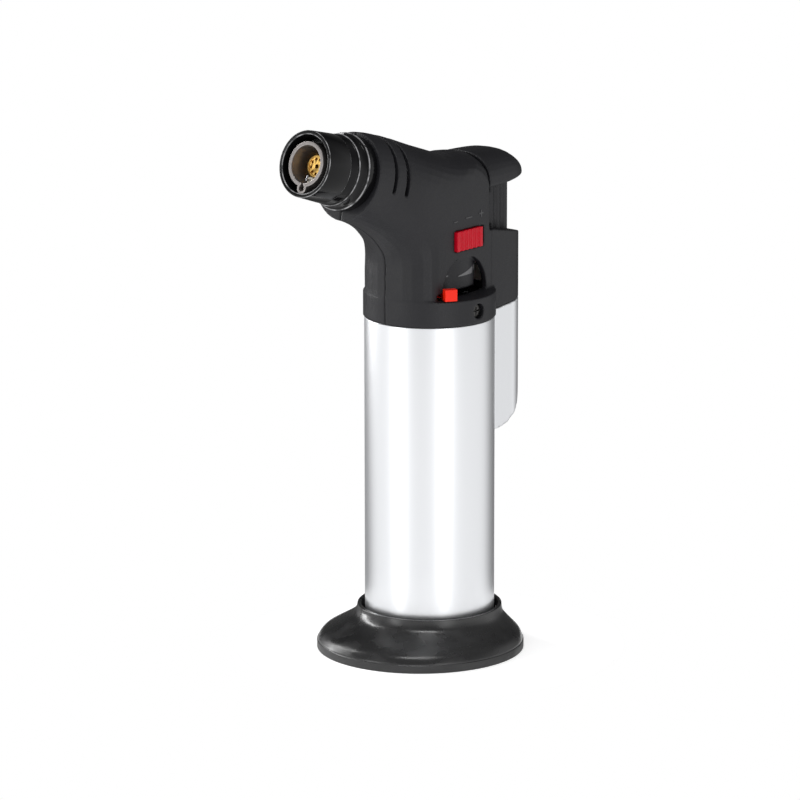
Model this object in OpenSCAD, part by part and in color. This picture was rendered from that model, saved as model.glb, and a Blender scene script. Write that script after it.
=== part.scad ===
// Butane torch: a refillable hand torch that stands in a slip-on foot.
// Millimetres, +Z up. The origin is where the tank's axis meets the resting plane.
// The nozzle points along -X and upwards, the controls are on the -Y side, the thumb button is at +X.

/* [Tank and sleeve] */
// Radius of the aluminium sleeve
sleeve_r = 20; // [19.8:0.1:20.2]
// Height of the sleeve's lower edge
sleeve_bottom = 5; // [4.8:0.1:5.4]
// Height of the joint between the sleeve and the head
neckline = 104.25; // [100:0.25:108]

/* [Foot] */
// Radius of the foot on the table
foot_r = 32; // [30:0.5:36]
// How far the foot reaches towards the nozzle, off the tank's axis
foot_lead = 4.25; // [3:0.25:5]
// Height of the foot's collar
foot_h = 13; // [12.5:0.5:14]

/* [Nozzle] */
// Angle of the nozzle above the horizontal
nozzle_tilt = 16; // [14:1:18]
// Reach of the lip's centre in front of the tank's axis
lip_reach = 55.3; // [54:0.5:58]
// Height of the lip's centre above the neckline
lip_rise = 54.25; // [53:0.25:56]
// Radius of the nozzle at its lip
lip_r = 10.1; // [9.8:0.1:10.3]
// Outer radius of the flame tube
flame_tube_r = 6.85; // [6.6:0.05:7]
// Radius of the brass burner disc
burner_r = 3.3; // [3.1:0.1:3.4]

/* [Controls] */
// Travel of the thumb button
trigger_travel = 5; // [4:0.5:5]
// Half of the thumb button's width where it leaves the head
cap_half = 12.4; // [12:0.1:12.4]
// Travel of the safety slider
lock_travel = 1.5; // [1:0.1:1.6]
// Where the flame lever stands at rest, in degrees from -Y towards the nozzle
lever_rest = 29; // [27:1:31]

/* [Hidden] */

$fn = 64;
eps = 0.01;
slack = 0.05;               // radial clearance of a running fit
joint_gap = 0.2;            // gap between parts that are only set beside each other
wall = 2;                   // wall of the head's shells

head_r = sleeve_r + 0.35;
ledge_z = neckline + 7.75;  // shelf that the flame lever runs on
block_top = neckline + 26;  // top of the rear block where it leaves the head
lip_z = neckline + lip_rise;

// Above the ledge the head's sides are flat and draw in towards the back.
side_taper = 0.08;
side_mid = 13.6;            // half width between the flats, at X = 0
function side(x) = side_mid - side_taper * x;

// The head is a fan of sections that turn about one line in front of the neck.
neck_front = 20;            // distance along the nozzle from the lip to the head's front edge
fan_x = -lip_reach + neck_front * cos(nozzle_tilt)
    - (lip_z - neck_front * sin(nozzle_tilt) - ledge_z) * tan(nozzle_tilt);
fan_end = 90 - nozzle_tilt;
// Each station is [turn as a share of the fan, inner edge, outer edge, half width].
stations = [[0, -head_r - fan_x + 0.05, head_r - fan_x - 0.05, head_r - 0.05],
    [0.16, 28.2, 69.6, 20.3],
    [0.3, 29.8, 74.4, 20.1],
    [0.38, 30.2, 76.2, 19.6],
    [0.466, 29.8, 73.2, 18.6],
    [0.54, 29.5, 65.6, 17.2],
    [0.68, 28.8, 59.8, 15],
    [0.82, 28.3, 57, 13.4],
    [1, 28.2, 55.2, 12.8]];

cap_front = 13.8;           // plane where the shells end and the thumb button starts
block_rear = 34;
block_corner = 8;
column_front = 20.4;
column_rear = 28.4;
column_half = 6.8;

valve_r = 5;
valve_top = neckline + 11.5;
pivot = [5, 0, neckline + 15];
tail = 15;                  // rocker's arm from its pivot to the button's foot
plunger_top = neckline + 15.75;
screw_z = neckline + 3.75;
lock_z = neckline + 24.75;  // middle of the safety slider
lock_from = -3.8;           // its ends along X
lock_to = 8.9;
drum_r = 13.45;             // curved dial behind the window in the left shell

// A smooth curve through all rows of a table, at the place s from 0 to its last index.
function row(t, i) = t[min(max(i, 0), len(t) - 1)];
function curve(t, s) =
    let(i = min(floor(s), len(t) - 2), u = s - i)
    let(a = row(t, i - 1), b = row(t, i), c = row(t, i + 1), d = row(t, i + 2))
    b + u / 2 * (c - a + u * (2 * a - 5 * b + 4 * c - d + u * (3 * b - a - 3 * c + d)));

// Closed surface through a list of rings that all have the same number of points.
module skin(rings) {
    n = len(rings[0]);
    last = len(rings) - 1;
    points = [for (ring = rings) each ring];
    sides = [for (i = [0 : last - 1]) for (k = [0 : n - 1])
        let(m = (k + 1) % n)
        each [[i * n + k, (i + 1) * n + k, i * n + m],
            [i * n + m, (i + 1) * n + k, (i + 1) * n + m]]];
    ends = [[for (k = [0 : n - 1]) k], [for (k = [n - 1 : -1 : 0]) last * n + k]];
    polyhedron(points, concat(ends, sides), convexity = 6);
}

// Round rod along a path of points.
function unit(v) = v / norm(v);
function rod_ring(p, dir, r, n) =
    let(side = unit(cross(dir, [0.21, 0.93, 0.3])), up = cross(dir, side))
    [for (k = [0 : n - 1]) p + r * (cos(360 * k / n) * side + sin(360 * k / n) * up)];
module rod(path, r, sides = 8) {
    last = len(path) - 1;
    skin([for (i = [0 : last])
        rod_ring(path[i], unit(path[min(i + 1, last)] - path[max(i - 1, 0)]), r, sides)]);
}

// Compression spring on the Z axis, from z = low to z = high.
module coil(r, wire, low, high, turns) {
    steps = turns * 16;
    rise = high - low - 2 * wire;
    rod([for (i = [0 : steps])
        [r * cos(i * 22.5), r * sin(i * 22.5), low + wire + rise * i / steps]], wire, 6);
}

// Ring sector on the Z axis, from one angle to another, both from -Y towards +X.
module sector(r_in, r_out, low, high, from, to)
    rotate([0, 0, from - 90])
        rotate_extrude(angle = to - from)
            translate([r_in, low])
                square([r_out - r_in, high - low]);

module box(x, y, z)
    translate([x[0], y[0], z[0]])
        cube([x[1] - x[0], y[1] - y[0], z[1] - z[0]]);

module tube(r_out, r_in, low, high)
    difference() {
        translate([0, 0, low])
            cylinder(r = r_out, h = high - low);
        translate([0, 0, low - 1])
            cylinder(r = r_in, h = high - low + 2);
    }

// Puts the lip's centre at the origin, with +Z back into the torch and +X downwards.
module on_nozzle()
    translate([-lip_reach, 0, lip_z])
        rotate([0, 90 + nozzle_tilt, 0])
            children();
function nozzle_point(t, drop = 0) =
    [-lip_reach + t * cos(nozzle_tilt) - drop * sin(nozzle_tilt), 0,
        lip_z - t * sin(nozzle_tilt) - drop * cos(nozzle_tilt)];

// ---- Foot ----

// Outer line of the foot, above its skirt: [share towards the axis, radius, height].
skirt_h = 2.4;
foot_line = [[0, foot_r, skirt_h],
    [0.02, foot_r - 0.4, 3.2],
    [0.1, foot_r - 1.5, 4.8],
    [0.3, foot_r - 3.5, 6.2],
    [0.6, foot_r - 6.2, 7.9],
    [0.85, sleeve_r + 3.4, 9.8],
    [0.96, sleeve_r + 2.6, 11.4],
    [1, sleeve_r + 2.3, foot_h]];

function foot_ring(p, inset, n) =
    [for (k = [0 : n - 1])
        [-foot_lead * (1 - p[0]) + (p[1] - inset) * cos(360 * k / n),
            (p[1] - inset) * sin(360 * k / n), p[2] - inset]];
module foot_form(inset, low, to) {
    steps = 3 * to;
    skin(concat([foot_ring([0, foot_r, low + inset], inset, 72)],
        [for (i = [0 : steps]) foot_ring(curve(foot_line, to * i / steps), inset, 72)]));
}

module base_stand() color([0.05, 0.05, 0.06])
    difference() {
        foot_form(0, 0, 7);
        // hollow under the flare, round the seat
        difference() {
            foot_form(1.8, -1, 5);
            translate([0, 0, 3])
                cylinder(r = sleeve_r + 1, h = foot_h);
        }
        translate([0, 0, -1])
            cylinder(r = 15, h = 20);
        translate([0, 0, sleeve_bottom])
            cylinder(r = sleeve_r + 0.3, h = foot_h);
        translate([0, 0, sleeve_bottom + 4])
            cylinder(r = sleeve_r + 1.2, h = foot_h);
    }

// ---- Tank ----

module tank_sleeve() color([0.82, 0.83, 0.85])
    difference() {
        translate([0, 0, sleeve_bottom])
            cylinder(r = sleeve_r, h = neckline - joint_gap - sleeve_bottom);
        translate([0, 0, sleeve_bottom + 1])
            cylinder(r = sleeve_r - 0.8, h = neckline);
        translate([0, 0, 0])
            cylinder(r = sleeve_r - 3, h = neckline);
    }

module fuel_tank() color([0.85, 0.85, 0.8])
    difference() {
        translate([0, 0, 8])
            cylinder(r = sleeve_r - 1, h = neckline - 14.25);
        translate([0, 0, 10])
            cylinder(r = sleeve_r - 2.5, h = neckline);
        cylinder(r = 4.2 + slack, h = 12);
    }

module tank_cap() color([0.75, 0.75, 0.72])
    difference() {
        union() {
            translate([0, 0, neckline - 9.25])
                cylinder(r = sleeve_r - 2.6, h = 3.05);
            translate([0, 0, neckline - 6.2])
                cylinder(r = sleeve_r - 1, h = 3);
            translate([0, 0, neckline - 4])
                cylinder(r = 8, h = 4);
            for (side = [-1, 1])
                box([-2.6, 2.6], side > 0 ? [12, 16.6] : [-16.6, -12], [neckline - 4, screw_z + 2]);
        }
        translate([0, 0, neckline - 10])
            cylinder(r = valve_r + slack, h = 12);
        for (side = [0, 180])
            rotate([90, 0, side])
                translate([0, screw_z, 11])
                    cylinder(r = 1 + slack, h = 8);
    }

module fuel_wick() color([0.9, 0.88, 0.8])
    translate([0, 0, 19])
        cylinder(r = 1.5, h = neckline - 27);

// ---- Filling valve, in the middle of the tank's bottom ----

module fill_valve_body() color([0.78, 0.62, 0.3])
    difference() {
        union() {
            translate([0, 0, 6])
                cylinder(r = 4.2, h = 9);
            translate([0, 0, 10.1])
                cylinder(r = 5.2, h = 1.4);
        }
        translate([0, 0, 5])
            cylinder(r = 2.2, h = 3.2);
        translate([0, 0, 5])
            cylinder(r = 1 + slack, h = 20);
        translate([0, 0, 9.5])
            cylinder(r = 2.8, h = 4.7);
    }

module fill_valve_stem() color([0.8, 0.66, 0.36]) {
    translate([0, 0, 6.6])
        cylinder(r = 1, h = 10);
    translate([0, 0, 9.6])
        cylinder(r = 2.4, h = 0.8);
}

module fill_valve_seal() color([0.12, 0.12, 0.12])
    tube(2.1, 1.05, 10.45, 11);

module fill_valve_spring() color([0.7, 0.7, 0.72])
    coil(1.75, 0.22, 11.05, 14.15, 3.5);

// ---- Outlet valve, in the middle of the tank's top ----

module outlet_valve_body() color([0.78, 0.62, 0.3])
    difference() {
        translate([0, 0, neckline - 8])
            cylinder(r = valve_r, h = valve_top - neckline + 8);
        translate([0, 0, neckline - 3])
            cylinder(r = 3, h = 11);
        translate([0, 0, neckline])
            cylinder(r = 1.5 + slack, h = 20);
        translate([0, 0, neckline - 9])
            cylinder(r = 0.8, h = 8);
    }

module valve_stem() color([0.8, 0.66, 0.36]) {
    translate([0, 0, neckline - 1.5])
        cylinder(r = 2.4, h = 1);
    translate([0, 0, neckline - 1.5])
        cylinder(r = 1.5, h = 24.5);
    translate([0, 0, pivot[2] + 1.9])
        cylinder(r = 2.7, h = 1);
}

module valve_seal() color([0.12, 0.12, 0.12])
    translate([0, 0, neckline - 2.9])
        cylinder(r = 2.3, h = 1.35);

module valve_spring() color([0.7, 0.7, 0.72])
    coil(2.3, 0.25, neckline - 0.45, neckline + 7.95, 5);

// Ring on the outlet valve, with an arm out through the slot and a knob on its end.
module gas_adjuster() color([0.9, 0.16, 0.08]) {
    arm_low = ledge_z + 0.2;
    tube(7.4, valve_r + slack, arm_low - 1.5, arm_low + 1.4);
    rotate([0, 0, -lever_rest]) {
        box([-1.1, 1.1], [-19, -6], [arm_low, arm_low + 1.4]);
        box([-1.9, 1.9], [-head_r + 0.1, -17.8], [arm_low, ledge_z + 3.7]);
    }
}

// ---- Gas path ----

hose_turn = [[0, 0, neckline + 26], [0, 0, neckline + 31], [-1.2, 0, neckline + 36],
    [-4.4, 0, neckline + 39.6], nozzle_point(47.2)];

module gas_hose() color([0.75, 0.75, 0.7])
    difference() {
        union() {
            translate([0, 0, neckline + 20.2])
                cylinder(r = 2.4, h = 6.3);
            rod([for (i = [0 : 16]) curve(hose_turn, i / 4)], 2.2, 12);
        }
        translate([0, 0, neckline + 20])
            cylinder(r = 1.5 + slack, h = 5.9);
    }

module gas_jet() color([0.78, 0.62, 0.3])
    on_nozzle()
        difference() {
            union() {
                translate([0, 0, 36])
                    cylinder(r = 2.2, h = 2);
                translate([0, 0, 38])
                    cylinder(r = 3.2, h = 4, $fn = 6);
                translate([0, 0, 42])
                    cylinder(r = 1.5, h = 5);
            }
            translate([0, 0, 35])
                cylinder(r = 0.3, h = 4);
            translate([0, 0, 38])
                cylinder(r = 0.9, h = 10);
        }

module mixer_tube() color([0.75, 0.6, 0.32])
    on_nozzle()
        difference() {
            tube(3, 2.25, 16, 38);
            for (turn = [0 : 90 : 270])
                rotate([0, 0, turn])
                    translate([0, 0, 33])
                        rotate([0, 90, 0])
                            cylinder(r = 1, h = 5);
        }

// Brass burner: a disc with a ring of small flame holes round the main one.
module burner_head() color([0.82, 0.64, 0.28])
    on_nozzle()
        difference() {
            union() {
                translate([0, 0, 5.6])
                    cylinder(r = burner_r, h = 10);
                tube(burner_r, burner_r - 0.5, 5.2, 6);
                translate([0, 0, 12.6])
                    cylinder(r = 5.5, h = 3.3);
            }
            translate([0, 0, 7])
                cylinder(r = 2.25, h = 10);
            cylinder(r = 0.65, h = 10);
            for (k = [0 : 8])
                rotate([0, 0, 40 * k])
                    translate([2.25, 0, 0])
                        cylinder(r = 0.42, h = 10);
            // notch that the electrode passes through
            box([burner_r + 0.15, 6], [-1.1, 1.1], [12, 17]);
        }

module keyhole(r_tube, r_channel, low, high)
    union() {
        translate([0, 0, low])
            cylinder(r = r_tube, h = high - low);
        translate([flame_tube_r + 0.35, 0, low])
            cylinder(r = r_channel, h = high - low);
    }

module flame_tube() color([0.45, 0.44, 0.44])
    on_nozzle()
        difference() {
            keyhole(flame_tube_r, 1.75, 0.7, 16);
            keyhole(flame_tube_r - 1.2, 1, 0, 17);
            box([flame_tube_r - 2, flame_tube_r + 0.35], [-0.45, 0.45], [0, 17]);
        }

module nozzle_shroud() color([0.04, 0.04, 0.05])
    on_nozzle()
        difference() {
            rotate_extrude()
                polygon([[0, 0.5], [lip_r - 1.2, 0.5], [lip_r - 0.9, 0.1], [lip_r - 0.3, 0],
                    [lip_r, 0.4], [lip_r + 0.4, 9.2], [lip_r - 0.1, 9.7], [8.9, 9.7],
                    [8.9, 12], [0, 12]]);
            translate([0, 0, -1])
                cylinder(r = 8.8, h = 8);
            keyhole(flame_tube_r + slack, 1.75 + slack, 0, 13);
        }

// Stepped gloss collar between the nose and the head.
module nozzle_collar() color([0.04, 0.04, 0.05])
    on_nozzle()
        difference() {
            rotate_extrude()
                polygon([[8, 9.8], [10, 9.8], [10.3, 12.4], [10.9, 12.8], [10.9, 13.3], [10.4, 13.7],
                    [10.9, 15.8], [11.8, 16.2], [11.8, 16.8], [11.2, 17.2], [11.5, 19.8],
                    [10.2, 19.8], [10.2, 24], [8, 24]]);
            translate([0, 0, 9])
                cylinder(r = 8.9 + slack, h = 3.05);
            translate([flame_tube_r + 0.35, 0, 9])
                cylinder(r = 1.75 + 2 * slack, h = 8);
        }

module electrode_insulator() color([0.9, 0.86, 0.76])
    on_nozzle()
        translate([4.45, 0, 3.6])
            difference() {
                cylinder(r = 0.95, h = 24.6);
                translate([0, 0, -1])
                    cylinder(r = 0.4, h = 27);
            }

module electrode_wire() color([0.6, 0.6, 0.62])
    on_nozzle() {
        translate([4.45, 0, 2.2])
            cylinder(r = 0.35, h = 27.1);
        translate([4.45, 0, 2.2])
            rotate([0, -68, 0])
                cylinder(r = 0.3, h = 1.3);
    }

// ---- Igniter ----

ignition_path = [[26, 3.4, neckline - 8], [26, 5.6, neckline - 6], [24, 8.2, neckline],
    [20, 8.6, neckline + 8], [14, 9.4, neckline + 16], [7, 9.6, neckline + 24],
    [-4, 9.4, neckline + 32], [-16, 7.4, neckline + 36.4], [-24, 3, neckline + 38],
    nozzle_point(29.3, 4.45)];
ground_path = [[25, -3.85, neckline - 4], [25, -5.4, neckline - 2], [22.6, -6.4, neckline + 1],
    [17, -6.5, neckline + 2.4], [11, -6.2, neckline + 2.6], [7, -3.4, neckline + 2.4],
    [5, -0.6, neckline + 2.4]];

module ignition_lead() color([0.15, 0.15, 0.16])
    rod([for (i = [0 : 27]) curve(ignition_path, i / 3)], 0.75);

module ground_lead() color([0.15, 0.15, 0.16])
    rod([for (i = [0 : 18]) curve(ground_path, i / 3)], 0.6);

module piezo_body() color([0.1, 0.1, 0.11])
    difference() {
        box([22.2, 30.2], [-4, 4], [neckline - 20, neckline + 7]);
        box([22.8, 29.6], [-3.4, 3.4], [neckline - trigger_travel - 4, neckline + 8]);
    }

module piezo_plunger() color([0.85, 0.85, 0.82])
    difference() {
        box([23, 29.4], [-3.2, 3.2], [neckline - 1, plunger_top]);
        box([24, 28.4], [-2.2, 2.2], [neckline - 2, neckline + 12]);
    }

module piezo_spring() color([0.7, 0.7, 0.72])
    translate([26.2, 0, 0])
        coil(1.8, 0.25, neckline - trigger_travel - 3.9, neckline + 11.9, 8);

// ---- Thumb button ----

// Each station of the button's cap is
// [distance along X, underside and top over the neckline, half width].
cap_stations = [[cap_front + 0.3, 37.4, 49.1, cap_half],
    [19, 37.5, 49.1, cap_half - 0.3],
    [24, 37.8, 48.9, cap_half - 0.9],
    [29, 38.4, 47.9, cap_half - 2],
    [33, 39, 45.9, cap_half - 4],
    [35.8, 39.6, 43.9, cap_half - 6.6],
    [37, 40.4, 42.6, cap_half - 9.4],
    [37.4, 41.1, 41.9, cap_half - 11.6]];

function swell(v, power) = sign(v) * pow(abs(v), power);
function cap_ring(p, n) =
    let(mid = p[1] + (p[2] - p[1]) * 0.2)
    [for (k = [0 : n - 1])
        let(a = 360 * k / n, up = sin(a))
        [p[0], p[3] * swell(cos(a), 0.85),
            neckline + mid + (up > 0 ? p[2] - mid : mid - p[1]) * swell(up, 0.9)]];

module trigger_button() color([0.11, 0.11, 0.12]) {
    steps = 21;
    groove_pitch = 3.1;
    shelf = lock_z + 1.3;   // underside that the safety slider's finger blocks
    difference() {
        union() {
            skin([for (i = [0 : steps]) cap_ring(curve(cap_stations, 7 * i / steps), 32)]);
            box([column_front, column_rear], [-column_half, column_half],
                [pivot[2] + 2.1, neckline + 41]);
            box([column_front + 1.8, column_rear], [-2.6, 2.6], [plunger_top, neckline + 41]);
        }
        // grooves between the ribs on both sides of the column
        for (groove_side = [-1, 1]) for (k = [0, 1])
            translate([column_front + 2 + groove_pitch * k, groove_side * (column_half + 0.15),
                    plunger_top - 1])
                cylinder(r = 0.7, h = 23);
    }
    // step over the finger, and the foot that presses the rocker's tail
    box([18.4, column_front + 1], [-column_half, column_half], [shelf, neckline + 36]);
    box([18.4, column_front + 1], [-2.6, 2.6], [pivot[2] + 2.1, shelf + 1]);
}

// ---- Rocker that lifts the valve stem ----

module rocker_lever() color([0.7, 0.71, 0.73])
    translate(pivot)
        difference() {
            union() {
                rotate([90, 0, 0])
                    cylinder(r = 2.2, h = 7, center = true);
                box([0, tail], [-2.2, 2.2], [-1, 1]);
                translate([tail, 0, 1])
                    rotate([90, 0, 0])
                        cylinder(r = 1, h = 4.4, center = true);
                for (side = [-1, 1])
                    translate([0, side * 2.65, 0]) {
                        box([-6.5, 0], [-0.75, 0.75], [-1, 1]);
                        translate([-pivot[0], 0, 1])
                            rotate([90, 0, 0])
                                cylinder(r = 0.8, h = 1.5, center = true);
                    }
            }
            rotate([90, 0, 0])
                cylinder(r = 1 + slack, h = 8, center = true);
        }

// Pin across the head, or the bore for it when it is given some slack.
module pin_form(grow)
    translate(pivot)
        rotate([90, 0, 0])
            cylinder(r = 1 + grow, h = 22 + 2 * grow, center = true);

module rocker_pin() color([0.6, 0.61, 0.63])
    pin_form(0);

// ---- Safety slider ----

// Lies along the head's left flat, which is turned by the taper.
module on_left_flat()
    translate([0, -side_mid, lock_z])
        rotate([0, 0, atan(side_taper)])
            children();

module lock_slider() color([0.75, 0.05, 0.1])
    on_left_flat() {
        rib_pitch = (lock_to - lock_from) / 6;
        // ribbed thumb piece
        difference() {
            box([lock_from, lock_to], [-0.9, 1.2], [-3, 3]);
            for (k = [1 : 5])
                translate([lock_from + rib_pitch * k, -1.2, -4])
                    cylinder(r = 0.6, h = 8);
        }
        // neck through the shell, cross plate behind it and the finger that blocks the button
        box([0, 5], [1.2 - eps, 2.6], [-1.2, 1.2]);
        box([-1, 7], [2.6, 3.8], [-2.2, 2.2]);
        box([3, 5], [3.8 - eps, 8.4], [-1, 1]);
        box([3, 18.7], [6.6, 8.4], [-1, 1]);
    }

// Pocket and slot for the slider, in the left shell only.
module lock_pocket()
    on_left_flat() {
        box([lock_from - 0.2, lock_to + lock_travel + 0.5], [-9, 1.4], [-3.2, 3.2]);
        box([-0.3, 5.3 + lock_travel], [0, 9], [-1.4, 1.4]);
        box([-1.3, 7.3 + lock_travel], [2.4, 9], [-2.4, 2.4]);
    }

// ---- Head shells ----

// Half of one section: round in front and behind, flat where it meets the side.
function flatten(y, limit) = y / pow(1 + pow(y / limit, 12), 1 / 12);
function fan_ring(p, inset, cut, n) =
    let(turn = p[0] * fan_end, mid = (p[1] + p[2]) / 2, reach = (p[2] - p[1]) / 2 - inset)
    [for (k = [0 : n])
        let(a = 180 * k / n, d = mid + reach * cos(a), x = fan_x + d * cos(turn))
        [x, k == 0 || k == n ? cut : flatten((p[3] - inset) * sin(a), side(x) - inset),
            ledge_z + d * sin(turn)]];

// The half at +Y of the bent body, from the ledge to the given share of the fan.
module elbow(inset, cut, to, steps) {
    base = fan_ring(stations[0], inset, cut, 20);
    skin(concat([[for (p = base) p - [0, 0, 1]]],
        [for (i = [0 : steps]) fan_ring(curve(stations, to * i / steps), inset, cut, 20)]));
}

// Plan of the upright block behind the head, with round rear corners.
function block_arc(centre, corner, from) =
    [for (k = [0 : 10]) centre + corner * [cos(from + 9 * k), sin(from + 9 * k)]];
module block_plan(inset, front, rear) {
    corner = block_corner - inset;
    centre_x = rear - block_corner;
    centre_y = side(rear) - 0.15 - block_corner;
    flank = side(front) - 0.15 - inset;
    polygon(concat([[front, flank], [front, -flank]],
        block_arc([centre_x, -centre_y], corner, -90), block_arc([centre_x, centre_y], corner, 0)));
}

module rear_block(inset, low)
    intersection() {
        translate([0, 0, low])
            linear_extrude(40)
                block_plan(inset, 4, block_rear);
        translate([0, 30, 0])
            rotate([90, 0, 0])
                linear_extrude(60)
                    polygon([[0, low], [18, low + 0.7], [27, low + 1.4], [block_rear + 1, low + 2.4],
                        [block_rear + 1, block_top - 5.4 - inset], [33, block_top - 4 - inset],
                        [30, block_top - 3 - inset], [cap_front, block_top - inset],
                        [0, block_top - inset]]);
    }

// The half at +Y of the walls, with everything that both shells share.
module half_walls()
    difference() {
        union() {
            difference() {
                union() {
                    elbow(0, 0.04, 8, 22);
                    intersection() {
                        union() {
                            translate([0, 0, neckline])
                                cylinder(r = head_r, h = ledge_z - neckline);
                            rear_block(0, neckline);
                        }
                        box([-60, 60], [0.04, 40], [neckline - 1, neckline + 70]);
                    }
                }
                difference() {
                    elbow(wall, -1, 7.3, 20);
                    // wall that closes the head behind the neck, in front of the button
                    box([cap_front - wall, 60], [-30, 30], [block_top - wall, neckline + 70]);
                }
                translate([0, 0, neckline - 1])
                    cylinder(r = head_r - wall, h = ledge_z - neckline + 0.2);
                rear_block(1.8, neckline - 1);
            }
            // spigot inside the sleeve
            intersection() {
                tube(sleeve_r - 0.9, sleeve_r - 2.2, neckline - 2.2, neckline + 1);
                box([-60, 60], [0.04, 40], [0, 300]);
            }
            // pad for the screw
            intersection() {
                box([-3.2, 3.2], [16.8, 20], [neckline, screw_z + 2.4]);
                cylinder(r = head_r - 0.5, h = 200);
            }
            // boss for the rocker's pin
            translate([pivot[0], 8, pivot[2]])
                rotate([-90, 0, 0])
                    cylinder(r = 2.4, h = side(pivot[0]) - 8.8);
        }
        // way for the button, behind the shells and through the block
        box([cap_front, 60], [-30, 30], [block_top - 0.4, neckline + 70]);
        box([cap_front + 1, column_rear + 0.4], [-7.2, 7.2], [block_top - 12, block_top + 3]);
        // way for the safety slider's finger
        box([cap_front - wall - 1, cap_front + 2], [-1, 7.7], [block_top - 2 * wall, lock_z + 1.2]);
        // bore for the collar, and the way for the mixer tube and the electrode behind it
        on_nozzle() {
            cylinder(r = 10.2 + slack, h = neck_front + 4.1);
            cylinder(r = 7.5, h = neck_front + 9);
        }
        // two vents that run over the top of the neck
        on_nozzle()
            for (t = [27.3, 32.4])
                rotate([0, 0, 74])
                    rotate_extrude(angle = 212)
                        translate([9.6, t - 0.65])
                            square([8, 1.3]);
        // screw hole with its counterbore
        rotate([-90, 0, 0])
            translate([0, -screw_z, 0]) {
                cylinder(r = 1.2, h = 30);
                translate([0, 0, 17.5])
                    cylinder(r = 2.3, h = 10);
            }
        pin_form(slack);
    }

// Round-topped window over the ledge, in the left flat, down to a drum on the tank's axis.
module dial_window(grow)
    intersection() {
        on_left_flat()
            translate([1, 0, ledge_z + 1 - lock_z])
                rotate([90, 0, 0])
                    translate([0, 0, -8])
                        cylinder(r = 11 + grow, h = 20);
        box([-12.6, 12.4], [-40, 0], [ledge_z - (grow > 0 ? 1 : 0), ledge_z + 30]);
    }

module head_shell_left() color([0.12, 0.12, 0.13])
    difference() {
        union() {
            difference() {
                mirror([0, 1, 0])
                    half_walls();
                difference() {
                    dial_window(0);
                    cylinder(r = drum_r - wall / 2, h = ledge_z + 30);
                }
            }
            // drum behind the window
            intersection() {
                dial_window(1.2);
                tube(drum_r, drum_r - 1.8, ledge_z + 1, ledge_z + 12.4);
            }
            // wall behind the slider's pocket
            on_left_flat()
                box([lock_from - 2, lock_to + 3.4], [0.4, 2.6], [-4.6, 5]);
        }
        // slot that the flame lever's arm comes out of
        sector(10, head_r - 0.35, ledge_z - 0.15, ledge_z + 2, -41, 41);
        lock_pocket();
        pin_form(slack);
    }

module head_shell_right() color([0.12, 0.12, 0.13])
    half_walls();

module housing_screws() color([0.6, 0.6, 0.62])
    for (side = [0, 180])
        rotate([90, 0, side])
            translate([0, screw_z, 0])
                difference() {
                    union() {
                        translate([0, 0, 12.2])
                            cylinder(r = 1, h = 6);
                        translate([0, 0, 17.6])
                            cylinder(r = 1.9, h = 1.4);
                    }
                    box([-1.2, 1.2], [-0.22, 0.22], [18.3, 20]);
                    box([-0.22, 0.22], [-1.2, 1.2], [18.3, 20]);
                }

// Satin cover below the block, over the igniter's lower end.
module fin_form(inset)
    intersection() {
        translate([0, 0, neckline - 45])
            linear_extrude(60)
                block_plan(inset, 8, block_rear);
        translate([0, 30, neckline])
            rotate([90, 0, 0])
                linear_extrude(60)
                    polygon([[8, -37.6 + inset], [20, -37.4 + inset], [23.8, -36.6 + inset],
                        [28 - inset, -34 + inset], [30.4 - inset, -30.6], [31.8 - inset, -25],
                        [33 - inset, -10], [34 - inset, 2.2 - 3 * inset], [27 - inset, 1.2 - 3 * inset],
                        [18, 0.5 - 3 * inset], [8, 0.2 - 3 * inset]]);
    }

module fin_cover() color([0.8, 0.81, 0.83])
    difference() {
        fin_form(0);
        fin_form(1.3);
        // way for the igniter, and beside it for its leads
        box([20, 31.6], [-6.4, 6.4], [neckline - 6, neckline + 4]);
        box([20, 27], [-7.6, 9.3], [neckline - 6, neckline + 4]);
        cylinder(r = sleeve_r + slack, h = 200);
        translate([0, 0, neckline - joint_gap])
            cylinder(r = head_r + joint_gap, h = 20);
    }

base_stand();
tank_sleeve();
fin_cover();
fuel_tank();
tank_cap();
fill_valve_body();
fill_valve_stem();
fill_valve_spring();
fill_valve_seal();
fuel_wick();
outlet_valve_body();
valve_stem();
valve_spring();
valve_seal();
gas_adjuster();
gas_hose();
gas_jet();
mixer_tube();
burner_head();
flame_tube();
nozzle_collar();
nozzle_shroud();
electrode_insulator();
electrode_wire();
ignition_lead();
ground_lead();
piezo_body();
piezo_plunger();
piezo_spring();
trigger_button();
rocker_lever();
rocker_pin();
lock_slider();
head_shell_left();
head_shell_right();
housing_screws();
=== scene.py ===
"""Looks of a refillable table torch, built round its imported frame.

Lengths are in metres, in the frame's axes: +Z runs up the tank, the nozzle points
towards -X, and the slider and the flame lever are on the -Y side. Outlines are
written in millimetres and scaled once, where a piece is made.
"""

import logging
import math
from collections.abc import Iterator, Sequence
from contextlib import contextmanager
from dataclasses import dataclass
from enum import Enum

import bpy
from mathutils import Matrix, Vector


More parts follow.
